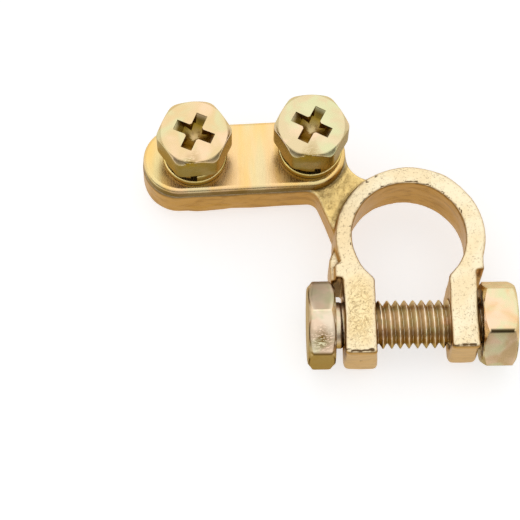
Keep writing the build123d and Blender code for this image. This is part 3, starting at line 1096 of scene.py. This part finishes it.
def split_coil(sizes, rise, turn):
    """Split washer: a rounded rectangle carried once round a helix, with its ends closed."""
    width = (sizes.outer - sizes.inner) / 2
    height = sizes.thickness / 2
    soft = 0.22 * MM
    outline = []
    for corner, (sx, sy) in enumerate(((1, 1), (-1, 1), (-1, -1), (1, -1))):
        bend = np.linspace(0, QUARTER, 5) + corner * QUARTER
        off_middle = sx * (width - soft) + soft * np.cos(bend)
        outline.append(np.stack([off_middle, sy * (height - soft) + soft * np.sin(bend)], axis=-1))
    outline = np.concatenate(outline)
    share = np.linspace(0, 1, 121)
    around = turn + sizes.slit / 2 + share * (TURN - sizes.slit)
    middle = (sizes.outer + sizes.inner) / 2
    radii = middle + outline[None, :, 0]
    heights = height + outline[None, :, 1] + (share * rise)[:, None]
    grid = np.stack(
        [radii * np.cos(around)[:, None], radii * np.sin(around)[:, None], heights], axis=-1
    )
    rows, columns = grid.shape[:2]
    index = np.arange(rows * columns).reshape(rows, columns)
    after = np.roll(index, -1, axis=1)
    points = np.concatenate([grid.reshape(-1, 3), grid[0].mean(0)[None], grid[-1].mean(0)[None]])
    start = np.full(columns, rows * columns)
    low = np.stack([start, after[0], index[0]], axis=-1)
    high = np.stack([start + 1, index[-1], after[-1]], axis=-1)
    return points, grid_quads(index), np.concatenate([low, high])


class CLAMP_OT_spring_washers(bpy.types.Operator):
    """Make the split spring washers"""

    bl_idname = "clamp.spring_washers"
    bl_label = "Spring washers"

    def execute(self, context):
        sizes = context.scene.clamp_washer
        plating = context.scene.clamp_plating
        skin = plated_material("Plated_spring", plating, WASHER_LOOK)
        for side, turn in SLIT_TURNS:
            name = "spring_washer_" + side
            low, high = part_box(name)
            middle = node_centre("flat_washer_" + side)
            rise = (high[2] - low[2]) - sizes.thickness
            points, quads, tris = split_coil(sizes, rise, math.radians(turn))
            points = points + np.array([middle[0], middle[1], low[2]])
            made = mesh_object("spring_" + side, points, quads, tris)
            face_outwards(made)
            sharpen(made, 40)
            give(made, skin)
            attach(made, "plate")
            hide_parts(name)
        return {"FINISHED"}


def bolt_hollow(radii, heights, angles, sizes):
    """Painted shade on the bolt: the chamfers' strips at both ends of the head, the lower edge
    between its two front faces, its back and its lowest facet, and the thread towards its root."""
    from_middle = np.abs(heights - 0.5 * sizes.head) / sizes.head
    upright = np.cos(angles) * radii
    rim = 0.55 * ramp(from_middle, 0.36, 0.06) * (radii > 5.6 * MM)
    on_edge = np.abs(angles - math.radians(210)) < LINE_HALF
    rim = np.maximum(rim, 0.9 * on_edge * (from_middle < 0.4))
    rim = np.maximum(rim, 0.5 * (upright > 5.6 * MM))
    rim = np.maximum(rim, 0.45 * (upright < -6.2 * MM))
    thread = 0.02 + 0.45 * thread_root(radii, sizes) ** 0.8
    return np.where(heights < -0.1 * MM, thread, rim)


class CLAMP_OT_bolt(bpy.types.Operator):
    """Make the clamp bolt with its thread"""

    bl_idname = "clamp.bolt"
    bl_label = "Clamp bolt"

    def execute(self, context):
        sizes = context.scene.clamp_thread
        low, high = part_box("clamp_bolt")
        middle = node_centre("clamp_bolt")
        angles = join_angles(
            hex_angles(sizes.flats, sizes.rounding), np.linspace(0, TURN, 129)[:-1]
        )
        shank = (high[0] - low[0]) - sizes.head
        rows = [(0, sizes.head), (sizes.flats * 0.25, sizes.head)]
        rows += head_rows(angles, sizes.flats, sizes.rounding, sizes.head, True, edge=0.2 * MM)
        rows += shank_rows(angles, sizes, 1.1, -0.7 * MM, shank, sizes.phase, 1.4 * MM)
        radii, heights = stack(rows, angles)
        points, quads, tris = spun(radii, heights, angles)
        # Painted shade on the head's chamfers, back, lowest facet and edge line, and in the
        # thread's roots
        hollow = per_point(bolt_hollow(radii, heights, angles, sizes))
        face = low[0] + sizes.head
        points = place(points, (face, middle[1], middle[2]), (-1, 0, 0), (0, 1, 0))
        made = mesh_object("bolt_threaded", points, quads, tris)
        worn = (low[0] + 0.5 * sizes.head, middle[1] - 4.2 * MM, high[2] - 2.2 * MM)
        mark(made, hollow=hollow, scuff=near(points, worn, (2.0 * MM, 2.2 * MM, 2.6 * MM)))
        face_outwards(made)
        sharpen(made)
        give(made, plated_material("Plated_bolt", context.scene.clamp_plating, BOLT_LOOK))
        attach(made, "bolt")
        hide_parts("clamp_bolt")
        return {"FINISHED"}


class CLAMP_OT_nut(bpy.types.Operator):
    """Make the nut with soft edges and a plain bore"""

    bl_idname = "clamp.nut"
    bl_label = "Clamp nut"

    def execute(self, context):
        sizes = context.scene.clamp_thread
        low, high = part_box("clamp_nut")
        middle = node_centre("clamp_nut")
        height = high[0] - low[0]
        angles = join_angles(
            hex_angles(sizes.nut_flats, sizes.rounding), np.linspace(0, TURN, 97)[:-1]
        )
        rows = head_rows(angles, sizes.nut_flats, sizes.rounding, height, True)
        mouth, bore, cone = sizes.radius + 0.5 * MM, sizes.radius - 0.3 * MM, 0.7 * MM
        rows += [(mouth * 1.05, 0), (mouth, 0), (bore, cone)]
        rows += [(bore, height - cone), (mouth, height), (mouth * 1.05, height)]
        radii, heights = stack(rows, angles)
        # The painted dark line of shade along one edge of the hex, on its side's rows only
        on_edge = np.abs(angles - SIXTH / 2) < LINE_HALF
        line = np.where(on_edge, 0.95, 0.0) * np.ones_like(radii)
        line[:7] = line[10:] = 0
        points, quads, tris = spun(radii, heights, angles, closed=True)
        points = place(points, (low[0], middle[1], middle[2]), (1, 0, 0), (0, 0, 1))
        made = mesh_object("nut_hex", points, quads, tris)
        mark(made, hollow=line.ravel())
        face_outwards(made)
        sharpen(made)
        give(made, plated_material("Plated_nut", context.scene.clamp_plating, NUT_LOOK))
        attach(made, "nut")
        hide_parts("clamp_nut")
        return {"FINISHED"}


def shown_rays(tree, in_gloss=1.0):
    """One for rays that show the background: from the camera or through glass, and in gloss
    as much as in_gloss says."""
    path = tree.nodes.new("ShaderNodeLightPath").outputs
    seen = larger(tree, path["Is Camera Ray"], times(tree, path["Is Glossy Ray"], in_gloss))
    return larger(tree, seen, path["Is Transmission Ray"])


def area_lamp(name, power, size, position, aim):
    """Square soft lamp at a place, aimed at another."""
    data = bpy.data.lights.new(name, "AREA")
    data.energy = power
    data.size = size
    lamp = add_object(name, data)
    lamp.location = position
    lamp.rotation_euler = (Vector(aim) - Vector(position)).to_track_quat("-Z", "Y").to_euler()


class CLAMP_OT_stage(bpy.types.Operator):
    """Set up the camera, the white floor, the lamps and the world"""

    bl_idname = "clamp.stage"
    bl_label = "Stage"

    def execute(self, context):
        scene = context.scene
        stage = scene.clamp_stage
        self.camera(scene, stage)
        self.floor()
        self.world(scene)
        for name, share, size, position in LAMPS:
            area_lamp(name, stage.overhead * share, size, position, LAMP_AIM)
        scene.view_settings.view_transform = "Standard"
        return {"FINISHED"}

    def camera(self, scene, stage):
        """Camera from its angles: back, right and up vectors, rolled about the view."""
        around, height, roll = stage.azimuth, stage.elevation, stage.roll
        level = math.cos(height)
        back = np.array([math.sin(around) * level, -math.cos(around) * level, math.sin(height)])
        right = np.array([math.cos(around), math.sin(around), 0.0])
        up = np.cross(right, -back)
        side = right * math.cos(roll) + up * math.sin(roll)
        over = -right * math.sin(roll) + up * math.cos(roll)
        position = np.array([stage.aim_x, stage.aim_y, 0]) + back * stage.distance
        data = bpy.data.cameras.new("Camera")
        data.lens = stage.focal
        data.sensor_width = 36.0
        data.clip_start = 0.01
        made = add_object("Camera", data)
        basis = np.stack([side, over, back], axis=1)
        made.matrix_world = Matrix.Translation(Vector(position)) @ Matrix(basis.tolist()).to_4x4()
        scene.camera = made

    def floor(self):
        """White floor at the object's lowest point, which keeps a soft shadow. It glows where
        it is seen, and in gloss its glow fades out in front of the object."""
        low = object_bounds()[0][2]
        reach = 3.0
        points = np.array(
            [[-reach, -reach, low], [reach, -reach, low], [reach, reach, low], [-reach, reach, low]]
        )
        made = mesh_object("Floor", points, [[0, 1, 2, 3]])
        skin, tree, shader, where = material("White_floor")
        grain = noise(tree, where.outputs["Object"], 0.02)
        tree.links.new(
            blend(tree, grain, (0.8, 0.8, 0.8), (0.82, 0.82, 0.82)),
            shader.inputs["Base Color"],
        )
        shader.inputs["Roughness"].default_value = 0.9
        shader.inputs["Emission Strength"].default_value = 0.62
        behind_front = span(tree, parts(tree, where.outputs["Object"])["Y"], -0.12, -0.03)
        glow = blend(tree, shown_rays(tree, behind_front), (0, 0, 0), (1, 1, 1))
        tree.links.new(glow, shader.inputs["Emission Color"])
        give(made, skin)
        made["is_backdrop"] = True

    def world(self, scene):
        """White world where it is seen, above and at the back, and dark grey low in front. As a
        light it is an even grey."""
        made = bpy.data.worlds.new("White_world")
        made.use_nodes = True
        tree = made.node_tree
        ground = tree.nodes["Background"]
        ground.inputs["Strength"].default_value = 1.0
        way = parts(tree, tree.nodes.new("ShaderNodeTexCoord").outputs["Generated"])
        bright = larger(tree, span(tree, way["Z"], 0.3, 0.65), span(tree, way["Y"], -0.35, 0.1))
        shown = blend(tree, bright, (0.22, 0.21, 0.20), (1, 1, 1))
        sky = blend(tree, shown_rays(tree), (0.45, 0.45, 0.45), shown)
        tree.links.new(sky, ground.inputs["Color"])
        scene.world = made


class CLAMP_PT_sidebar(bpy.types.Panel):
    """Lists the clamp's steps"""

    bl_idname = "CLAMP_PT_sidebar"
    bl_label = "Terminal clamp"
    bl_space_type = "VIEW_3D"
    bl_region_type = "UI"
    bl_category = "Terminal clamp"

    def draw(self, context):
        for step in STEPS:
            self.layout.operator(step.bl_idname)


SETTINGS = {
    "clamp_casting": CastingSettings,
    "clamp_thread": ThreadSettings,
    "clamp_screw": ScrewSettings,
    "clamp_washer": WasherSettings,
    "clamp_plating": PlatingSettings,
    "clamp_stage": StageSettings,
}
STEPS = (
    CLAMP_OT_finishes,
    CLAMP_OT_casting,
    CLAMP_OT_plate,
    CLAMP_OT_screws,
    CLAMP_OT_spring_washers,
    CLAMP_OT_bolt,
    CLAMP_OT_nut,
    CLAMP_OT_stage,
)


def register():
    """Registers the settings, the steps and the sidebar."""
    for name, group in SETTINGS.items():
        bpy.utils.register_class(group)
        setattr(bpy.types.Scene, name, PointerProperty(type=group))
    for step in STEPS:
        bpy.utils.register_class(step)
    bpy.utils.register_class(CLAMP_PT_sidebar)


def unregister():
    """Takes away what register added, in the opposite order."""
    bpy.utils.unregister_class(CLAMP_PT_sidebar)
    for step in reversed(STEPS):
        bpy.utils.unregister_class(step)
    for name, group in reversed(SETTINGS.items()):
        delattr(bpy.types.Scene, name)
        bpy.utils.unregister_class(group)


def main():
    register()
    for step in STEPS:
        family, action = step.bl_idname.split(".")
        getattr(getattr(bpy.ops, family), action)()


if __name__ == "__main__":
    main()
